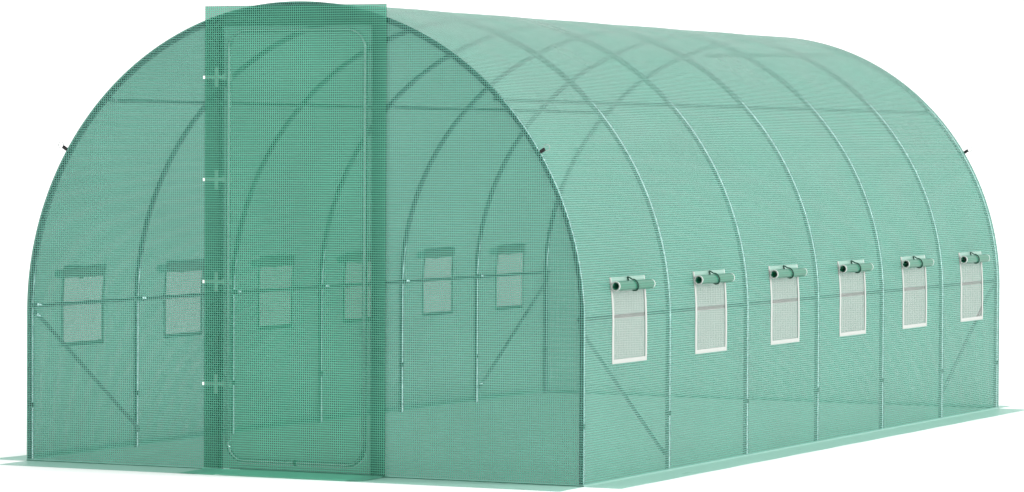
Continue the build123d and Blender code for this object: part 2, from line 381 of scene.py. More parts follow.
# %% [markdown]
# ## Woven film
# The cover is green polyethylene laminated over a net of threads. The threads are pale and nearly solid, and
# the panes between them are deeper green and let more of the inside show. Counting threads in the photograph
# gives one every 11.2 mm. Each sheet's UV map is in metres along the cloth, so two zigzag waves of that
# length draw the net, whatever way the sheet bends. Light also soaks through the film, so the shader mixes a
# glossy face with a translucent one, and the net sets how much of that covers what is behind. What shows
# through a pane is tinted a little, a sheen lightens the film where it turns away, and at a slant the
# threads close up, so the film hides more.

# %% Film finish
THREAD_PITCH, THREAD_WIDTH, THREAD_SOFT = 0.0112, 0.0037, 0.0008
THREAD_RELIEF = (0.0006, 0.35)
CLOUD_SIZE, CLOUD_DETAIL, CLOUD_RANGE = 0.45, 3.0, (0.3, 0.7)
CLOUD_TONE, CLOUD_ROUGH = (0.94, 1.06), (0.26, 0.42)
LYING_RANGE = (0.0085, 0.0115)
SLANT_RANGE, SLANT_SHARE = (0.70, 1.0), 0.85
DENSE_COVER = 0.97
SOAK_SHARE = 0.45
SHEEN_ROUGH, SHEEN_TINT = 0.45, "#d2eee4"


def woven_film(name, thread, pane, ground, tint, thread_cover, pane_cover, gloss, sheen):
    """Laminated woven film: pale threads on deeper panes, each with its own covering power.

    tint is what a pane does to the light that it lets through. Film on the ground is paler and hides it.
    """
    finish, tree = new_finish(name)
    axes = cloth_axes(tree)
    thread_edge = (THREAD_WIDTH / 2 - THREAD_SOFT, THREAD_WIDTH / 2 + THREAD_SOFT)
    bands = []
    for axis in "XY":
        away = maths(tree, "PINGPONG", axes[axis], THREAD_PITCH / 2)
        bands.append(ramp(tree, away, 1.0, 0.0, *thread_edge, ease="SMOOTHSTEP"))
    net = maths(tree, "MAXIMUM", *bands)
    cloud = noise(tree, 1 / CLOUD_SIZE, CLOUD_DETAIL)
    lighter = ramp(tree, cloud, *CLOUD_TONE, *CLOUD_RANGE)
    colour = mix(tree, net, pane, thread)
    colour = node(tree, "VectorMath", {0: colour, 3: lighter}, operation="SCALE").outputs[0]
    height = node(tree, "SeparateXYZ", {0: spot(tree)}).outputs[2]
    lying = ramp(tree, height, 1.0, 0.0, *LYING_RANGE)
    colour = mix(tree, lying, colour, ground)
    face = node(tree, "BsdfPrincipled", {
        "Base Color": colour, "Roughness": ramp(tree, cloud, *CLOUD_ROUGH, *CLOUD_RANGE),
        "Normal": relief(tree, net, *THREAD_RELIEF), "Specular IOR Level": gloss, "Sheen Weight": sheen,
        "Sheen Roughness": SHEEN_ROUGH, "Sheen Tint": paint(SHEEN_TINT)})
    soak = node(tree, "BsdfTranslucent", {"Color": colour})
    film = node(tree, "MixShader", {0: SOAK_SHARE, 1: face.outputs[0], 2: soak.outputs[0]})
    facing = node(tree, "LayerWeight", {"Blend": 0.5}).outputs["Facing"]
    slant = ramp(tree, facing, 0.0, SLANT_SHARE, *SLANT_RANGE, ease="SMOOTHSTEP")
    dense = maths(tree, "MAXIMUM", slant, lying)
    cover = ramp(tree, net, pane_cover, thread_cover)
    cover = node(tree, "Mix", {0: dense, 2: cover, 3: DENSE_COVER}).outputs[0]
    clear = node(tree, "BsdfTransparent", {"Color": paint(tint)})
    shown = node(tree, "MixShader", {0: cover, 1: clear.outputs[0], 2: film.outputs[0]})
    node(tree, "OutputMaterial", {"Surface": shown.outputs[0]})
    return finish


cover_finish = woven_film("green_woven_film", "#72b8a7", "#0f5039", "#a6cfc4", "#d9e5e1",
                          thread_cover=0.95, pane_cover=0.38, gloss=0.35, sheen=0.52)
door_finish = woven_film("green_door_film", "#69bea4", "#053a25", "#76c9b0", "#dbe9e5",
                         thread_cover=0.97, pane_cover=0.66, gloss=0.2, sheen=0.1)
hem_finish = woven_film("doubled_film_hem", "#70b19f", "#3f8f77", "#a6cfc4", "#e6f4ef",
                        thread_cover=0.80, pane_cover=0.40, gloss=0.35, sheen=0.2)
print("film threads every", THREAD_PITCH * 1000, "mm")

# %% [markdown]
# ## The cover over the hoops
# One sheet runs from the ground on the left, over the arch, to the ground on the right, and lies out flat as
# a skirt on both sides. It could be cut from flat panels, but a continuous sheet keeps its highlights
# unbroken. Its section is four stretches joined by distance: a flat skirt, a small cove, an upright wall and
# the arch. Between hoops the stretched film draws in two millimetres, so the sheet dips across each bay.

# %% Cover section
COVE = 0.003
BAY_DIP, DIP_EASE = 0.002, 0.4
RIPPLE, RIPPLE_LENGTH, SWAY, SWAY_LENGTH = 0.0007, 0.053, 1.7, 0.16
BILLOW, BILLOW_ALONG, BILLOW_ACROSS = 0.0015, 0.11, 0.05

skirt_run = side_skirt - COVE
cove_run = COVE * math.pi / 2
wall_foot = ground_film + COVE
wall_run = spring_height - wall_foot
arch_start = skirt_run + cove_run + wall_run
half_section = arch_start + film_radius * math.pi / 2


def run_at_height(height):
    """Distance from the skirt's edge to a height on the wall or the arch."""
    height = np.asarray(height, float)
    on_arch = np.arcsin(np.clip((height - spring_height) / film_radius, 0, 1)) * film_radius
    return skirt_run + cove_run + np.minimum(height - wall_foot, wall_run) + on_arch


def cover_section(run):
    """Half section at a distance from the skirt's edge: (x, z) of the film and of its outward normal."""
    bend = np.clip((run - skirt_run) / COVE, 0, math.pi / 2)
    angle = np.clip((run - arch_start) / film_radius, 0, math.pi / 2)
    flat = np.clip(run, 0, skirt_run)
    rise = np.clip(run - skirt_run - cove_run, 0, wall_run)
    x = film_radius + side_skirt - flat - COVE * np.sin(bend) - film_radius * (1 - np.cos(angle))
    z = ground_film + COVE * (1 - np.cos(bend)) + rise + film_radius * np.sin(angle)
    on_wall = run > skirt_run + cove_run
    across = np.where(on_wall, np.cos(angle), np.sin(bend))
    up = np.where(on_wall, np.sin(angle), np.cos(bend))
    return x, z, across, up


def cover_point(side, run, y, lift=0.0):
    """Point of the cover on one side (-1 or 1), lifted outwards and moved in by the dip of its bay."""
    run, y = np.broadcast_arrays(np.asarray(run, float), np.asarray(y, float))
    x, z, across, up = cover_section(run)
    share = np.clip((y - hoop_ys[0]) / bay, 0, len(bay_centres)) % 1
    above = np.clip((run - skirt_run - cove_run) / DIP_EASE, 0, 1)
    dip = 4 * share * (1 - share) * BAY_DIP * smooth_step(above)
    waves = np.sin(run / RIPPLE_LENGTH + SWAY * np.sin(y / SWAY_LENGTH))
    ripple = RIPPLE * waves * np.sin(np.pi * share) * above
    swell = 1 + np.sin(y / BILLOW_ALONG + 2.0 * side) * np.cos(run / BILLOW_ACROSS)
    billow = BILLOW * swell * np.clip(1 - run / skirt_run, 0, 1)
    out = lift - dip + ripple + billow
    return np.stack([side * (x + across * out), y, z + up * out], axis=-1)


print(f"cover is {2 * half_section:.3f} m from edge to edge")

# %% [markdown]
# The windows are holes in this sheet. The grid has a line on every edge of a hole, so dropping the quads
# inside leaves clean straight cuts. The photograph's windows are a little narrower than the solid hems.

# %% Cover sheet
SIDE_HEM, BOTTOM_HEM, WINDOW_TRIM = 0.020, 0.020, 0.007
GRID_STEP = 0.04
COVE_LINES = 7

hem_box = span("window_hems_right")
window_width = 2 * (bay_centres[0] - hem_box[0, 1]) - WINDOW_TRIM
window_bottom, window_top = hem_box[:, 2]
hole_half = window_width / 2 - SIDE_HEM
hole_bottom, hole_top = window_bottom + BOTTOM_HEM, window_top - BOTTOM_HEM
hole_runs = run_at_height([hole_bottom, hole_top])
hole_ys = bay_centres[:, None] + hole_half * np.array([-1, 1])
ys = marks(front_y, back_y, GRID_STEP, [*hoop_ys, *hole_ys.ravel()])
cove_lines = np.linspace(skirt_run, skirt_run + cove_run, COVE_LINES)
runs = marks(0, half_section, GRID_STEP, [*cove_lines, *hole_runs, arch_start])
mid_y, mid_run = (ys[1:] + ys[:-1]) / 2, (runs[1:] + runs[:-1]) / 2
in_bay = (np.abs(mid_y[:, None] - bay_centres) < hole_half).any(1)
in_band = (mid_run > hole_runs[0]) & (mid_run < hole_runs[1])
solid = ~(in_bay[:, None] & in_band)
left = cover_point(-1, runs[None, :], ys[:, None])
right = cover_point(1, runs[None, ::-1], ys[:, None])
cover_points = np.concatenate([left, right[:, 1:]], axis=1)
along = np.concatenate([runs, 2 * half_section - runs[-2::-1]])
cover_uv = grid_of(along[None, :], ys[:, None])
cover_film = piece(
    "cover_film", [patch(cover_points, cover_uv, keep=np.concatenate([solid, solid[:, ::-1]], axis=1))],
    cover_finish,
    replaces=["side_wall_left", "side_wall_right", "roof_right_low", "roof_right_high", "roof_left_high",
              "roof_left_low", "skirt_left", "skirt_right"])

# %% [markdown]
# ## End sheets
# The back end is one flat sheet in the arch's outline, and the front one has the doorway cut out.
# Around a doorway a grid works best in rings: one edge follows the doorway, the other follows the arch, and
# rows in between blend the two. At the feet the rows run on round the cove and out along the ground.

# %% Front sheet
SLACK = 0.0012
FRONT_ROWS = 25

doorway_half = span("door_post_right")[0, 0]
doorway_top = span("front_wall_top")[0, 2]
arch_run = math.pi * film_radius
outline_run = 2 * wall_run + arch_run
corner_run = wall_run + film_radius * math.atan2(doorway_top - spring_height, doorway_half)
end_skirt_run = end_skirt - COVE


def arch_outline(run):
    """(x, z) at a distance along the film's arch, from the left foot over the top to the right foot."""
    turn = np.clip((run - wall_run) / film_radius, 0, math.pi)
    rise = np.clip(run, 0, wall_run) - np.clip(run - wall_run - arch_run, 0, wall_run)
    return -film_radius * np.cos(turn), wall_foot + rise + film_radius * np.sin(turn)


def ground_turn(beyond):
    """How far out and how low the film is, at a distance beyond the wall's foot: a cove, then flat ground."""
    bend = np.clip(beyond / COVE, 0, math.pi / 2)
    flat = np.clip(beyond - cove_run, 0, None)
    return COVE * (1 - np.cos(bend)) + flat, COVE * np.sin(bend)


def slack(x, z, seed):
    """About a millimetre of unevenness in a flat sheet, as crossed slow waves."""
    slow = np.sin(x / 0.17 + seed) * np.cos(z / 0.23 + seed)
    return SLACK * (slow + 0.6 * np.sin(x / 0.09 - z / 0.12 + seed))


ground_lines = marks(cove_run, cove_run + end_skirt_run, GRID_STEP)
skirt_lines = np.concatenate([np.linspace(0, cove_run, COVE_LINES), ground_lines[1:]])
turns = [wall_run, corner_run, outline_run - corner_run, outline_run - wall_run]
outline = marks(0, outline_run, GRID_STEP, turns)
u = np.concatenate([-skirt_lines[:0:-1], outline, outline_run + skirt_lines[1:]])
beyond = np.maximum(np.maximum(-u, u - outline_run), 0)
v = np.linspace(0, 1, FRONT_ROWS)[:, None]
outer_x, outer_z = arch_outline(np.clip(u, 0, outline_run))
stops = [0, corner_run, outline_run - corner_run, outline_run]
inner_x = np.interp(u, stops, [-doorway_half, -doorway_half, doorway_half, doorway_half])
inner_z = np.interp(u, stops, [wall_foot, doorway_top, doorway_top, wall_foot])
out, down = ground_turn(beyond)
x = inner_x + (outer_x - inner_x) * v
z = inner_z + (outer_z - inner_z) * v - down
y = front_y - out - slack(x, z, 0.4) * np.sin(np.pi * v) * (beyond == 0)
front_uv = np.stack([x, z + down - beyond], axis=-1)
front_film = piece(
    "front_film", [patch(grid_of(x, y, z), front_uv)], cover_finish,
    replaces=["front_wall_left", "front_wall_right", "front_wall_top", "skirt_front_left",
              "skirt_front_right"])

# %% Back sheet
BACK_COLUMNS, BACK_ROWS = 81, 57

columns = film_radius * np.sin(np.linspace(-math.pi / 2, math.pi / 2, BACK_COLUMNS))
top_z = spring_height + np.sqrt(np.maximum(film_radius ** 2 - columns ** 2, 0))
lift_rows = np.linspace(0, 1, BACK_ROWS)[1:, None]
on_ground = (len(skirt_lines), len(columns))
x = np.broadcast_to(columns, (len(skirt_lines) + len(lift_rows), len(columns)))
out, down = ground_turn(skirt_lines[::-1, None])
wall_z = wall_foot + (top_z - wall_foot) * lift_rows
z = np.concatenate([np.broadcast_to(wall_foot - down, on_ground), wall_z])
uneven = slack(x[:len(lift_rows)], wall_z, 2.1) * np.sin(np.pi * lift_rows)
y = back_y + np.concatenate([np.broadcast_to(out, on_ground), uneven])
cloth_z = np.concatenate([z[:len(skirt_lines)] + down - skirt_lines[::-1, None], wall_z])
back_uv = np.stack([x, cloth_z], axis=-1)
back_film = piece("back_film", [patch(np.stack([x, y, z], axis=-1)[:, ::-1], back_uv[:, ::-1])], cover_finish,
                  replaces=["back_wall", "skirt_back"])

# %% [markdown]
# At each corner the side skirt and the end skirt turn out in different directions. The real film gathers
# into a small pleat there, so a quarter turn of the same cove closes the gap.

# %% Corner pleats
quarter = np.linspace(0, math.pi / 2, 9)
turn_out, turn_down = ground_turn(np.linspace(0, cove_run, COVE_LINES))
pleats = []
for side, end_y, end_way in ((-1, front_y, -1), (1, front_y, -1), (-1, back_y, 1), (1, back_y, 1)):
    x = side * (film_radius + turn_out[:, None] * np.cos(quarter))
    y = end_y + end_way * turn_out[:, None] * np.sin(quarter)
    z = np.broadcast_to((wall_foot - turn_down)[:, None], x.shape)
    pleat = np.stack([x, y, z], axis=-1)
    pleats.append(patch(pleat[:, ::side * end_way], np.stack([x, y], axis=-1)[:, ::side * end_way]))
piece("corner_pleats", pleats, cover_finish)

# %% [markdown]
# ## Galvanised tubes
# The frame is hot-dip galvanised steel: a mid grey metal with faint crystals of zinc, called spangle. The
# hoops, posts and the door ring keep their own solids and only get this finish. The ring gets a much lighter
# copy of the same steel. That is painted light, so that it shows as a light line through the door's dense
# film.

# %% Steel finish
SPANGLE_SIZE = 0.009
STEEL_ROUGH = (0.14, 0.26)


def galvanised(name, dark, light):
    """Zinc on steel: Voronoi cells as spangle, in colour and in roughness."""
    finish, tree = new_finish(name)
    cells = node(tree, "TexVoronoi", {"Vector": spot(tree), "Scale": 1 / SPANGLE_SIZE})
    grey = node(tree, "SeparateColor", {0: cells.outputs["Color"]}).outputs[0]
    blend = maths(tree, "MULTIPLY", grey, noise(tree, 14.0, 4.0))
    show(tree, {"Base Color": mix(tree, blend, dark, light), "Metallic": 1.0,
                "Roughness": ramp(tree, blend, *STEEL_ROUGH)})
    return finish


def dress(node_name, finish):
    """Give a frame node its finish."""
    slots = frame["nodes"][node_name].data.materials
    slots.clear()
    slots.append(finish)


tube_finish = galvanised("galvanised_tube", "#4d5557", "#868d8e")
post_finish = galvanised("galvanised_post", "#4f5759", "#8b9293")
# Painted light: the ring is a much lighter copy of the galvanised steel, to show as a light line through the
# door film.
painted_light_ring_finish = galvanised("galvanised_ring_painted_light", "#b4bab9", "#dfe2e0")
for start, finish in (("hoop_", tube_finish), ("door_post_", post_finish), ("door_ring", painted_light_ring_finish)):
    tube_nodes = [name for name in frame["nodes"] if name.startswith(start)]
    for name in tube_nodes:
        dress(name, finish)
    print(finish.name, "on", tube_nodes)

# %% [markdown]
# ## Purlins, rails and braces
# These thinner tubes are bay-long lengths whose ends are pressed flat and bolted to the hoops.
# A plain cylinder can't show that, so each is an oval carried along a line: round in the open, flat and wide
# where it crosses a hoop. The flat part moves out, so it still lies against the hoop.

# %% Flattened tubes
SIDES = (("left", -1), ("right", 1))
LONG_TUBES = ("upper_purlin", "lower_rail")
RAIL_RADIUS = 0.010
FLAT_THICKNESS, FLAT_WIDEN = 0.0035, 1.38
FLAT_HALF, FLAT_EASE = 0.020, 0.028
BRACE_INSET = 0.55


def flattened(start, end, flats, outward):
    """A round tube from start to end, pressed flat near the given distances and moved out to the hoop."""
    start, end, outward = (np.array(p, float) for p in (start, end, outward))
    length = np.linalg.norm(end - start)
    direction = (end - start) / length
    pressed = FLAT_HALF + FLAT_EASE
    edges = np.ravel([[f - FLAT_HALF, f, f + FLAT_HALF, f - pressed, f + pressed] for f in flats])
    place = marks(0, length, FLAT_EASE / 4, np.clip(edges, 0, length))
    away = np.abs(place[:, None] - np.array(flats)).min(1)
    near = away < 2 * FLAT_HALF + pressed
    place, away = place[near], away[near]
    press = 1 - smooth_step((away - FLAT_HALF) / FLAT_EASE)
    thick = RAIL_RADIUS + (FLAT_THICKNESS - RAIL_RADIUS) * press
    wide = RAIL_RADIUS * (1 + (FLAT_WIDEN - 1) * press)
    path = start + direction * place[:, None] + outward * (RAIL_RADIUS - thick)[:, None]
    return tube(path, thick, wide, reference=np.cross(outward, direction), sides=16)


def along_hoops(kind, name):
    """A purlin's or a rail's box, and the direction out of the tunnel at its middle."""
    box = span(f"{kind}_{name}")
    radial = np.array([box[:, 0].mean(), 0, box[:, 2].mean() - spring_height])
    return box, radial / np.linalg.norm(radial)


for name, side in SIDES:
    for kind in LONG_TUBES:
        box, outward = along_hoops(kind, name)
        start, end = (np.array([box[:, 0].mean(), y, box[:, 2].mean()]) for y in box[:, 1])
        piece(f"{kind}_tube_{name}", [flattened(start, end, hoop_ys - box[0, 1], outward)], tube_finish,
              replaces=[f"{kind}_{name}"])
    for where in ("front", "back"):
        box = span(f"brace_{where}_{name}")
        near, far = box[:, 1] if where == "front" else box[::-1, 1]
        inset = RAIL_RADIUS * BRACE_INSET * np.sign(far - near)
        high = (box[:, 0].mean(), near + inset, box[1, 2] - RAIL_RADIUS)
        low = (box[:, 0].mean(), far - inset, box[0, 2] + RAIL_RADIUS)
        brace = flattened(high, low, [0, math.dist(high, low)], (side, 0, 0))
        piece(f"brace_tube_{where}_{name}", [brace], tube_finish,
              replaces=[f"brace_{where}_{name}"])

# %% [markdown]
# ## Trim finishes
# Small trim is moulded or twisted. Rubber and plastic have a fine grain: the rubber band is black and dull,
# and the hinge clips are white with a soft shine. Thread, elastic and webbing are strands, which the eye
# reads as narrow lighter and darker stripes across the cord. On the webbing the stripes are raised ribs.
# The dark green thread finish also colours cords of painted shade along the ground creases.

# %% Trim finishes
RIB_HEIGHT = 0.0004


def moulded(name, dark, light, scale, detail, roughness):
    """Rubber or plastic with a fine grain in its colour and its roughness."""
    finish, tree = new_finish(name)
    grain = noise(tree, scale, detail)
    show(tree, {"Base Color": mix(tree, grain, dark, light), "Roughness": ramp(tree, grain, *roughness)})
    return finish


def twisted(name, dark, light, scale, roughness, distortion=0.0, ribs=0.0):
    """Strands that lie across a cord or a strap, as a wave along the cloth."""
    finish, tree = new_finish(name)
    wave = {"Vector": cloth(tree), "Scale": scale, "Distortion": distortion}
    strands = node(tree, "TexWave", wave).outputs[1]
    inputs = {"Base Color": mix(tree, strands, dark, light), "Roughness": roughness}
    if ribs:
        inputs["Normal"] = relief(tree, strands, RIB_HEIGHT, ribs)
    show(tree, inputs)
    return finish


band_finish = moulded("black_rubber_band", "#1c2422", "#2f3836", 400.0, 2.0, roughness=(0.55, 0.8))
clip_finish = moulded("white_polypropylene", "#cfd3ce", "#e3e5e1", 60.0, 3.0, roughness=(0.35, 0.5))
# Dark green thread: the back wall's sewn band, and painted shade for the cords along the ground creases.
seam_and_crease_shade_finish = twisted("dark_green_seam_and_crease_shade", "#1f5d4c", "#2f7a64", 60.0, 0.6)
tie_finish = twisted("dark_green_elastic", "#0b3b2f", "#175744", 90.0, 0.65, distortion=1.5)
web_finish = twisted("black_webbing", "#050908", "#101916", 130.0, 0.7, ribs=0.7)
dress("hinge_clips", clip_finish)
print("trim finishes ready")

# %% [markdown]
# A bolt holds every crossing: on the inside a washer, a hexagon nut and the bolt's end show.
# All of them are short prisms, so one call makes the whole set from an array of places.
# A rubber band sits on every leg.

# %% Bolts and leg bands
WASHER, NUT, BOLT_END = (0.0085, 0.0015), (0.0072, 0.0055), (0.0035, 0.0040)
BAND_HEIGHT, BAND_AT, BAND_PROUD = 0.025, 0.280, 0.0009

places, inward = [], []
for name, side in SIDES:
    for kind in LONG_TUBES:
        _, radial = along_hoops(kind, name)
        seat = (hoop_radius - tube_radius - 2 * FLAT_THICKNESS) * radial + np.array([0, 0, spring_height])
        places += [seat + np.array([0, y, 0]) for y in hoop_ys]
        inward += [-radial] * len(hoop_ys)
places, inward = np.array(places), np.array(inward)
bolt_patches, depth = [], 0.0
for (radius, height), sides in zip((WASHER, NUT, BOLT_END), (16, 6, 10)):
    path = places[:, None] + inward[:, None] * np.array([depth, depth + height])[:, None]
    bolt_patches.append(tube(path, radius, reference=(0, 1, 0), sides=sides))
    depth += height
piece("frame_bolts", bolt_patches, tube_finish)

feet = np.array([[side * hoop_radius, y, 0] for side in (-1, 1) for y in hoop_ys])
rise = BAND_AT + BAND_HEIGHT * np.array([-0.5, -0.42, 0.42, 0.5])
path = feet[:, None] + np.stack([0 * rise, 0 * rise, rise], axis=-1)
band_radius = tube_radius + BAND_PROUD * np.array([0.2, 1, 1, 0.2])
piece("leg_bands", [tube(path, band_radius, reference=(0, 1, 0), sides=24)], band_finish)

# %% [markdown]
# ## Crease shade and hems
# A thin dark cord along the fold where the end walls turn out along the ground is painted shade: it stands
# for the shadow in that crease. The doorway's edge is folded double, and a dark band is sewn across the back
# wall at that height.

# %% Ground crease shade and hems
CREASE_SHADE_RADIUS = 0.0024
HEM_WIDTH, HEM_EDGE, HEM_PROUD, HEM_MIDDLE = 0.022, 0.0004, 0.0014, 0.0016
BAND_HALF, BACK_BAND_WIDTH, BACK_BAND_EDGE, BACK_BAND_PROUD = 0.42, 0.025, 0.0006, 0.0022

# Painted shade: a thin dark cord along each end wall's ground fold stands for the shadow in the crease.
crease_shade_patches = []
for low, high, y in ((-film_radius, -doorway_half, front_y), (doorway_half, film_radius, front_y),
                     (-film_radius, film_radius, back_y)):
    path = grid_of(marks(low, high, 2 * GRID_STEP), y, wall_foot)
    crease_shade_patches.append(tube(path, CREASE_SHADE_RADIUS, sides=8))
piece("ground_crease_shade", crease_shade_patches, seam_and_crease_shade_finish)

steps = np.linspace(0, 3, 61)
hem_rows = []
for grow, proud in ((0, HEM_EDGE), (0, HEM_PROUD), (HEM_WIDTH / 2, HEM_MIDDLE), (HEM_WIDTH, HEM_PROUD),
                    (HEM_WIDTH, HEM_EDGE)):
    jamb, head = doorway_half + grow, doorway_top + grow
    x = np.interp(steps, range(4), [-jamb, -jamb, jamb, jamb])
    z = np.interp(steps, range(4), [wall_foot, head, head, wall_foot])
    hem_rows.append(grid_of(x, front_y - proud, z))
hem_points = np.array(hem_rows)
piece("doorway_hem", [patch(hem_points, hem_points[..., [0, 2]])], hem_finish)

x = marks(-BAND_HALF, BAND_HALF, GRID_STEP)[::-1]
z = doorway_top + BACK_BAND_WIDTH * np.array([-0.5, -0.45, 0.45, 0.5])
y = back_y + np.array([BACK_BAND_EDGE, BACK_BAND_PROUD, BACK_BAND_PROUD, BACK_BAND_EDGE])
band_points = grid_of(x, y[:, None], z[:, None])
piece("back_band", [patch(band_points, band_points[..., [0, 2]])], seam_and_crease_shade_finish)

# %% [markdown]
# ## Window tape, nets and flaps
# Each window is a hole bound with white polyester tape, with an insect net behind it. The film flap that
# shuts it is rolled up and tied above. Every one of these lies on the cover, so they all use its own
# surface: a distance up the section, a place along the tunnel and a lift off the film. The tape is ribbed
# cloth, a soft white with a little dust.

# %% Tape finish
TAPE_RIB = 0.0022

tape_finish, tree = new_finish("white_polyester_tape")
rib = maths(tree, "PINGPONG", cloth_axes(tree)[0], TAPE_RIB / 2)
rib = ramp(tree, rib, 0.0, 1.0, stop=TAPE_RIB / 2)
tone = mix(tree, noise(tree, 25.0, 3.0), "#a9ada8", mix(tree, rib, "#9fa39e", "#b9bcb8"))
show(tree, {"Base Color": tone, "Roughness": 0.75, "Normal": relief(tree, rib, RIB_HEIGHT, 0.6),
            "Sheen Weight": 0.2})

# %% [markdown]
# The net is a grid of fine grey wires with nothing in between, so from a distance it only greys what is
# behind.

# %% Net finish
NET_PITCH, NET_WIRE = 0.0030, 0.0010

net_finish, tree = new_finish("fine_insect_net")
axes = cloth_axes(tree)
wires = []
for axis in "XY":
    away = maths(tree, "PINGPONG", axes[axis], NET_PITCH / 2)
    wires.append(maths(tree, "LESS_THAN", away, NET_WIRE / 2))
show(tree, {"Base Color": paint("#8f958f"), "Roughness": 0.6, "Alpha": maths(tree, "MAXIMUM", *wires)})

# %% Window tape and nets
TAPE_LIFT, TAPE_THICK, TAPE_LENGTH = 0.0008, 0.0020, 1.53
NET_MARGIN, NET_SINK, NET_BELLY = 0.010, 0.0016, 0.004

corners = np.array([(-1, 0), (1, 0), (1, 1), (-1, 1), (-1, 0)], float)
steps = np.linspace(0, 4, 41)
along_y, along_z = (np.interp(steps[:-1], range(5), corners[:, k]) for k in (0, 1))
inner_loop = (along_y * hole_half, hole_bottom + along_z * (window_top - window_bottom - 2 * BOTTOM_HEM))
outer_loop = (along_y * window_width / 2, window_bottom + along_z * (window_top - window_bottom))
tape_v = np.array([0, 0, 0.04, 0.5, 0.96, 1, 1, 0.5])
tape_lift = TAPE_LIFT + TAPE_THICK * np.array([0, 0.7, 0.95, 1, 0.95, 0.7, 0, 0])
tape_y, tape_z = (inner[:, None] + (outer - inner)[:, None] * tape_v
                  for inner, outer in zip(inner_loop, outer_loop))
tape_uv = grid_of(np.linspace(0, TAPE_LENGTH, len(steps))[:, None], np.append(tape_v, 0) * SIDE_HEM)

net_share = np.linspace(-1, 1, 13)
net_y = net_share * (hole_half + NET_MARGIN)
net_z = np.linspace(hole_bottom - NET_MARGIN, hole_top + NET_MARGIN, len(net_share))
belly = np.cos(net_share * math.pi / 2)
sink = -NET_SINK - NET_BELLY * belly[:, None] * belly
net_uv = grid_of(net_y, net_z[:, None])
for name, side in SIDES:
    turn = slice(None, None, side)
    points = cover_point(side, run_at_height(tape_z), bay_centres[:, None, None] + tape_y, tape_lift)
    tape = patch(points[:, turn], tape_uv, wrap_rows=True, wrap_cols=True)
    piece(f"window_tape_{name}", [tape], tape_finish, replaces=[f"window_hems_{name}"])
    points = cover_point(side, run_at_height(net_z)[:, None], bay_centres[:, None, None] + net_y, sink)
    nets = piece(f"window_net_{name}", [patch(points[:, :, turn], net_uv[:, turn])], net_finish,
                 replaces=[f"window_nets_{name}"])

# %% [markdown]
# ## Rolled flaps
# The flap is one ribbon of film: sewn to the wall at its top edge, it hangs behind the roll, turns under it
# and winds up inside as a spiral. The ribbon's middle line is worked out in the wall's own directions, up
# and out, and given a thickness on both sides. White tape binds its side edges, so the roll's ends show
# white rims. The film looks deeper where layers lie on each other, so the colour changes along the ribbon:
# pale where it hangs and dark green around the roll. The innermost turns, which little light reaches, are
# painted a brighter green. That is painted light, which keeps the roll's hollow end from going black.

# %% Flap finish
EDGE_TAPE = 0.007
FLAP_REACH, FLAP_EASE = 0.055, 0.015
PAINTED_LIGHT_TURNS_RANGE = (0.28, 0.30)

flap_finish, tree = new_finish("rolled_green_film")
axes = cloth_axes(tree)
rolled = ramp(tree, axes[0], 0.0, 1.0, FLAP_REACH - FLAP_EASE, FLAP_REACH)
# Painted light: the innermost turns are painted a brighter green than the roll, though little light reaches
# them.
inner = ramp(tree, axes[0], 0.0, 1.0, *PAINTED_LIGHT_TURNS_RANGE)
pane = mix(tree, inner, mix(tree, rolled, "#769f91", "#0a553e"), "#3fc79c")
nearest = maths(tree, "MINIMUM", *(maths(tree, "PINGPONG", axes[k], THREAD_PITCH / 2) for k in (0, 1)))
thread = ramp(tree, nearest, 1.0, 0.0, 0.0012, 0.0028)
tone = mix(tree, thread, pane, mix(tree, rolled, "#88ad9f", "#277a60"))
edge = maths(tree, "LESS_THAN", axes[1], EDGE_TAPE)
show(tree, {"Base Color": mix(tree, edge, tone, "#c3c6c2"), "Roughness": ramp(tree, edge, 0.34, 0.7),
            "Normal": relief(tree, thread, RIB_HEIGHT, 0.4), "Coat Weight": 0.1, "Coat Roughness": 0.25})

# %% Flaps and their ties
ROLL_RADIUS, ROLL_PITCH, ROLL_TURNS, ROLL_TRIM = 0.023, 0.0018, 3.0, 0.012
FLAP_HALF_THICK, FLAP_SEAT, FLAP_TRIM = 0.0006, 0.0035, 0.004
TIE_RADIUS, TIE_START, TIE_SHIFT = 0.0034, -0.008, 0.024
TIE_END, DRIFT_FROM, DRIFT_OVER = 215, 50, 140

roll_box = span("window_rolls_right")
roll_half = bay_centres[0] - roll_box[0, 1] - ROLL_TRIM
roll_run = float(run_at_height(roll_box[0, 2] + ROLL_RADIUS))
wall_x, wall_z, across, up = (float(k) for k in cover_section(np.array(roll_run)))
centre_out = (roll_box[1, 0] - ROLL_RADIUS - wall_x) / across + BAY_DIP
top_up = float(run_at_height(window_top)) - roll_run

hang = np.linspace(0, 1, 9)[:-1]
flap_out = FLAP_SEAT + (centre_out - ROLL_RADIUS - FLAP_SEAT) * smooth_step(hang)
phi = np.linspace(0, 2 * math.pi * ROLL_TURNS, 110)
spiral = ROLL_RADIUS - ROLL_PITCH * phi / (2 * math.pi)
middle = np.stack([np.concatenate([top_up * (1 - hang), -spiral * np.sin(phi)]),
                   np.concatenate([flap_out, centre_out - spiral * np.cos(phi)])], axis=-1)


def both_faces(line, half_thick):
    """The two faces of a ribbon whose middle is a line in a plane."""
    heading = unit(np.gradient(line, axis=0))
    facing = np.stack([heading[:, 1], -heading[:, 0]], axis=-1)
    return [line + half_thick * facing, line - half_thick * facing]


def distance_along(line):
    """Distance from the start of a line to each of its points."""
    return np.concatenate([[0], np.linalg.norm(np.diff(line, axis=0), axis=1).cumsum()])


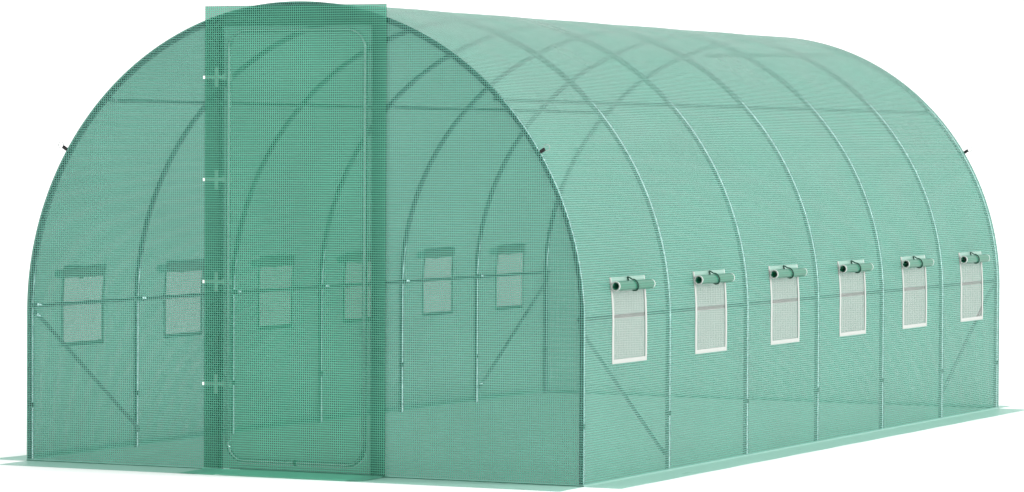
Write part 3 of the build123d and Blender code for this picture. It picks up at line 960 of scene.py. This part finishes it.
def on_wall(side, up_out):
    """Points of a window's own plane, (up, out) from the film behind the roll axis, in the room."""
    up_way, out_way = np.array([-side * up, 0, across]), np.array([side * across, 0, up])
    start = np.array([side * (wall_x - across * BAY_DIP), 0, wall_z - up * BAY_DIP])
    return start + up_out[..., :1] * up_way + up_out[..., 1:2] * out_way


flap_faces = both_faces(middle, FLAP_HALF_THICK)
ribbon = np.concatenate([flap_faces[0], flap_faces[1][::-1]])
ribbon_run = distance_along(middle)
widen = smooth_step((ribbon_run - 0.6 * top_up) / (0.5 * top_up))
half_width = window_width / 2 - FLAP_TRIM + (roll_half + FLAP_TRIM - window_width / 2) * widen
eta = np.array([-1, -0.96, -0.75, -0.5, -0.25, 0, 0.25, 0.5, 0.75, 0.96, 1])
width = np.concatenate([half_width, half_width[::-1]])
run = np.concatenate([ribbon_run, ribbon_run[::-1]])
flap_uv = grid_of(np.append(run, run[0]), (1 - np.abs(eta[:, None])) * np.append(width, width[0]))

tie_turn = np.radians(np.linspace(0, TIE_END, 22))
tie_reach = ROLL_RADIUS + FLAP_HALF_THICK + TIE_RADIUS
drift = smooth_step((tie_turn - math.radians(DRIFT_FROM)) / math.radians(DRIFT_OVER))
long_tie = np.stack([np.concatenate([[top_up - 0.003, top_up * 0.86], tie_reach * np.cos(tie_turn)]),
                     np.concatenate([[0.0075, 0.016], centre_out + tie_reach * np.sin(tie_turn)]),
                     TIE_START + TIE_SHIFT * np.concatenate([[0, 0], drift])], axis=-1)
short_tie = np.stack([top_up * np.array([0.95, 0.8, 0.6, 0.42]), np.array([0.0078, 0.0085, 0.0095, 0.0115]),
                      TIE_START + np.array([-0.001, 0.001, 0.002, 0.003])], axis=-1)

for name, side in SIDES:
    turn = slice(None, None, side)
    points = np.broadcast_to(on_wall(side, ribbon), (len(bay_centres), len(eta), len(ribbon), 3)).copy()
    points[..., 1] = bay_centres[:, None, None] + eta[:, None] * width
    patches = [patch(points[:, turn], flap_uv[turn], wrap_cols=True)]
    for end in (-1, 1):
        rim = np.stack([on_wall(side, face) for face in flap_faces[::end * side]])
        rim = np.broadcast_to(rim, (len(bay_centres), *rim.shape)).copy()
        rim[..., 1] = bay_centres[:, None, None] + end * half_width
        patches.append(patch(rim))
    flap = piece(f"window_flaps_{name}", patches, flap_finish,
                 replaces=[f"window_rolls_{name}"])
    ties = []
    for strand in (long_tie, short_tie):
        path = np.broadcast_to(on_wall(side, strand), (len(bay_centres), len(strand), 3)).copy()
        path[..., 1] = bay_centres[:, None] + strand[:, 2]
        ties.append(tube(path, TIE_RADIUS, reference=(0.2, 1, 0.1), sides=10))
    piece(f"window_ties_{name}", ties, tie_finish)

# %% [markdown]
# ## The door
# The door is a bent tube ring under a wide strip of the same film. The strip is one sheet: its left edge
# lies on the wall and the rest lies over the door, so it crosses the hinge. A blend keeps it in the wall's
# plane on one side of the hinge line and in the door's plane on the other, with a smooth bend in between.
# The sheet is fixed in that closed shape and belongs to no body. Its skirt rides on the door alone.

# %% Door sheet
HINGE_HALF = 0.018
STRIP_LAP, STRIP_LIFT = 0.0105, 0.003
BEND_BEFORE, BEND_AFTER, BEND_LINES = 0.045, 0.030, 16
CROSS_BEFORE, CROSS_RUN = 0.038, 0.05
DOOR_WAVE = 0.0007

strip_box, edge_box, ring_box = span("door_strip"), span("door_strip_edge"), span("door_ring")
ring_radius = np.ptp(ring_box[:, 1]) / 2
hinge_x = ring_box[0, 0] + ring_radius
wall_flap_y, door_y = edge_box[:, 1].mean(), strip_box[:, 1].mean()
strip_half = strip_box[1, 0]
strip_left = -strip_half - STRIP_LAP

bend_lines = np.linspace(hinge_x - BEND_BEFORE, hinge_x + BEND_AFTER, BEND_LINES)
xs = marks(strip_left, strip_half, GRID_STEP, bend_lines)
zs = marks(strip_box[0, 2] + STRIP_LIFT, strip_box[1, 2], GRID_STEP)
cross = smooth_step((xs - (hinge_x - CROSS_BEFORE)) / CROSS_RUN)
wave = DOOR_WAVE * (1 + np.sin(xs / 0.13) * np.cos(zs[:, None] / 0.31)) * cross
y = wall_flap_y + (door_y - wall_flap_y) * cross - wave
door_points = grid_of(xs, y, zs[:, None])
door_film = piece("door_film", [patch(door_points, door_points[..., [0, 2]])], door_finish,
                  body=None, replaces=["door_strip", "door_strip_edge"])
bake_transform(door_film)

# %% [markdown]
# The door's skirt starts at a thin dark cord, painted shade along the crease where it leaves the strip. It
# droops towards the ground without touching it and has one rounded corner. Beside it a small skirt belongs
# to the strip's fixed edge. It lies on the front skirt and lifts at the strip.

# %% Door skirt
CORNER, SKIRT_DROOP, DROOP_RUN = 0.06, 0.004, 0.08
CURL, CURL_ACROSS, CURL_OUT = 0.002, 0.14, 0.2
SKIRT_PROUD, CREASE_SHADE_PROUD = 0.0012, 0.002
HINGE_SKIRT_LEVEL, HINGE_SKIRT_WAVE = 0.0030, 0.0004
HINGE_SKIRT_LIP, LIP_RUN = 0.0062, 0.02
HINGE_SKIRT_CLEAR, STRIP_CLEAR = 0.006, 0.0026

skirt_box = span("door_skirt")
skirt_level = skirt_box[:, 2].mean()
out_run = door_y - skirt_box[0, 1] - COVE
run = np.concatenate([marks(0, out_run, GRID_STEP / 2)[:-1], out_run + np.linspace(0, cove_run, 8)])
beyond = run[-1] - run
out, down = ground_turn(beyond)
cut = np.clip(CORNER - run, 0, CORNER)
trim = CORNER - np.sqrt(np.maximum(CORNER ** 2 - cut ** 2, 0))
share = np.linspace(0, 1, 25)
x = skirt_box[0, 0] + (strip_half - trim - skirt_box[0, 0])[:, None] * share
curl = CURL * np.clip((x - strip_half + CURL_ACROSS) / CURL_ACROSS, 0, 1) ** 2
curl = curl * np.clip(1 - run / CURL_OUT, 0, 1)[:, None]
droop = SKIRT_DROOP * smooth_step((beyond - cove_run) / DROOP_RUN)
z = (skirt_level + COVE - down - droop)[:, None] + curl
skirt_points = grid_of(x, (door_y - SKIRT_PROUD - out)[:, None], z)
door_skirt = piece("door_skirt_film", [patch(skirt_points, grid_of(x, run[:, None]))], door_finish,
                   body="door", replaces=["door_skirt"])

# Painted shade: a thin dark cord along the crease where the door's skirt leaves the strip.
crease_shade_x = marks(hinge_x + HINGE_HALF, strip_half, 2 * GRID_STEP)
path = grid_of(crease_shade_x, door_y - CREASE_SHADE_PROUD, skirt_level + COVE)
piece("door_crease_shade", [tube(path, CREASE_SHADE_RADIUS, sides=8)], seam_and_crease_shade_finish, body="door")

x = marks(strip_left, skirt_box[0, 0] - HINGE_SKIRT_CLEAR, GRID_STEP)
y = marks(skirt_box[0, 1], door_y - STRIP_CLEAR, GRID_STEP / 4)[:, None]
level = HINGE_SKIRT_LEVEL + HINGE_SKIRT_WAVE * np.sin(x / 0.05) * np.cos(y / 0.06)
level = level + HINGE_SKIRT_LIP * smooth_step((y - y[-1] + LIP_RUN) / LIP_RUN)
points = grid_of(x, y, level)
hinge_skirt = piece("hinge_skirt", [patch(points, points[..., :2])], door_finish)

# %% [markdown]
# A short rubber sleeve hides the joint where the two ends of the ring meet at the foot of the door.

# %% Ring sleeve
SLEEVE_HALF, SLEEVE_BEVEL = 0.008, 0.0012
SLEEVE_EDGE, SLEEVE_PROUD = 0.0003, 0.0015

sleeve = SLEEVE_HALF * np.array([-1, -1, 1, 1]) + SLEEVE_BEVEL * np.array([0, 1, -1, 0])
path = grid_of(sleeve, ring_box[:, 1].mean(), ring_box[0, 2] + ring_radius)
sleeve_radius = ring_radius + np.array([SLEEVE_EDGE, SLEEVE_PROUD, SLEEVE_PROUD, SLEEVE_EDGE])
piece("ring_sleeve", [tube(path, sleeve_radius, sides=24)], band_finish, body="door")

# %% [markdown]
# ## Tie loops
# On each end seam a folded loop of black webbing holds a wire ring: the webbing is a ribbon bent round the
# wire, the ring a closed tube of bright zinc wire.

# %% Tie loops
TIE_ANGLE = math.radians(32.0)
WEB_WIDTH, WEB_HALF_THICK, WEB_GAP, WEB_OUT = 0.016, 0.0007, 0.0024, 0.0255
WIRE_RING, WIRE_RADIUS, WIRE_BITE = 0.0150, 0.0015, 0.0006

bend = np.linspace(-math.pi / 2, math.pi / 2, 13)
fold = np.concatenate([[(0, -WEB_GAP), (WEB_OUT / 2, -WEB_GAP)],
                       np.stack([WEB_OUT + WEB_GAP * np.cos(bend), WEB_GAP * np.sin(bend)], axis=-1),
                       [(WEB_OUT / 2, WEB_GAP), (0, WEB_GAP)]])
strap_faces = both_faces(fold, WEB_HALF_THICK)
strap = np.concatenate([strap_faces[0], strap_faces[1][::-1]])
strap_uv = grid_of(np.append(distance_along(strap), 0), np.array([0, WEB_WIDTH])[:, None])
ring_turn = np.linspace(0, 2 * math.pi, 40, endpoint=False)[:, None]
web_patches, ring_paths = [], []
for y in (front_y, back_y):
    for side in (-1, 1):
        outward = np.array([side * math.cos(TIE_ANGLE), 0, math.sin(TIE_ANGLE)])
        around = np.array([-side * math.sin(TIE_ANGLE), 0, math.cos(TIE_ANGLE)])
        seat = np.array([0, y, spring_height]) + film_radius * outward
        flat = seat + strap[:, :1] * outward + strap[:, 1:] * np.array([0, 1, 0])
        rows = np.stack([flat - side * around * WEB_WIDTH / 2, flat + side * around * WEB_WIDTH / 2])
        web_patches.append(patch(rows, strap_uv, wrap_cols=True, caps=True))
        centre = seat + (WEB_OUT + WIRE_RING - WIRE_BITE) * outward
        ring_paths.append(centre + WIRE_RING * (np.cos(ring_turn) * outward + np.sin(ring_turn) * around))
piece("tie_webbing", web_patches, web_finish, replaces=["tie_rings"])
wire_finish = galvanised("bright_zinc_wire", "#9ea5a1", "#c6cbc8")
wire_rings = tube(np.array(ring_paths), WIRE_RADIUS, reference=(0, 1, 0), sides=8, closed=True)
piece("tie_wire_rings", [wire_rings], wire_finish)

# %% [markdown]
# ## Light for the steel
# In the photograph a thin white line runs down the right of every tube, and the door ring shines through its
# film. Large soft boxes do that in a studio, but here they would also wash out the film.
# Light linking keeps one lamp for the tubes, another for the door's ring and clips, and a small one that only
# puts a glint in the ring's corners.

# %% Steel lamps
TUBE_LAMP = ((20.3, 1.6, 7.85), (2.86, 0.1, -1.8), (22.0, 33.5), 31400.0)
RING_LAMP = ((0.0, -25.0, 8.0), (0, -3, 1.1), (46.0, 18.0), 4600.0)
GLINT_LAMP = ((16.3, -13.7, 6.5), (0, -3, 1.1), (3.0, 3.0), 1000.0)


def light_only(lamp, finishes):
    """Keeps a lamp for the pieces that have one of these finishes, and lets no other piece shade them."""
    lit = bpy.data.collections.new(lamp.name + "_pieces")
    for thing in bpy.context.scene.objects:
        if finishes & {held.material for held in thing.material_slots}:
            lit.objects.link(thing)
    lamp.light_linking.receiver_collection = lit
    lamp.light_linking.blocker_collection = lit


light_only(soft_box("tube_light", *TUBE_LAMP), {tube_finish})
light_only(soft_box("ring_light", *RING_LAMP), {painted_light_ring_finish, clip_finish})
light_only(soft_box("ring_glint", *GLINT_LAMP), {painted_light_ring_finish})
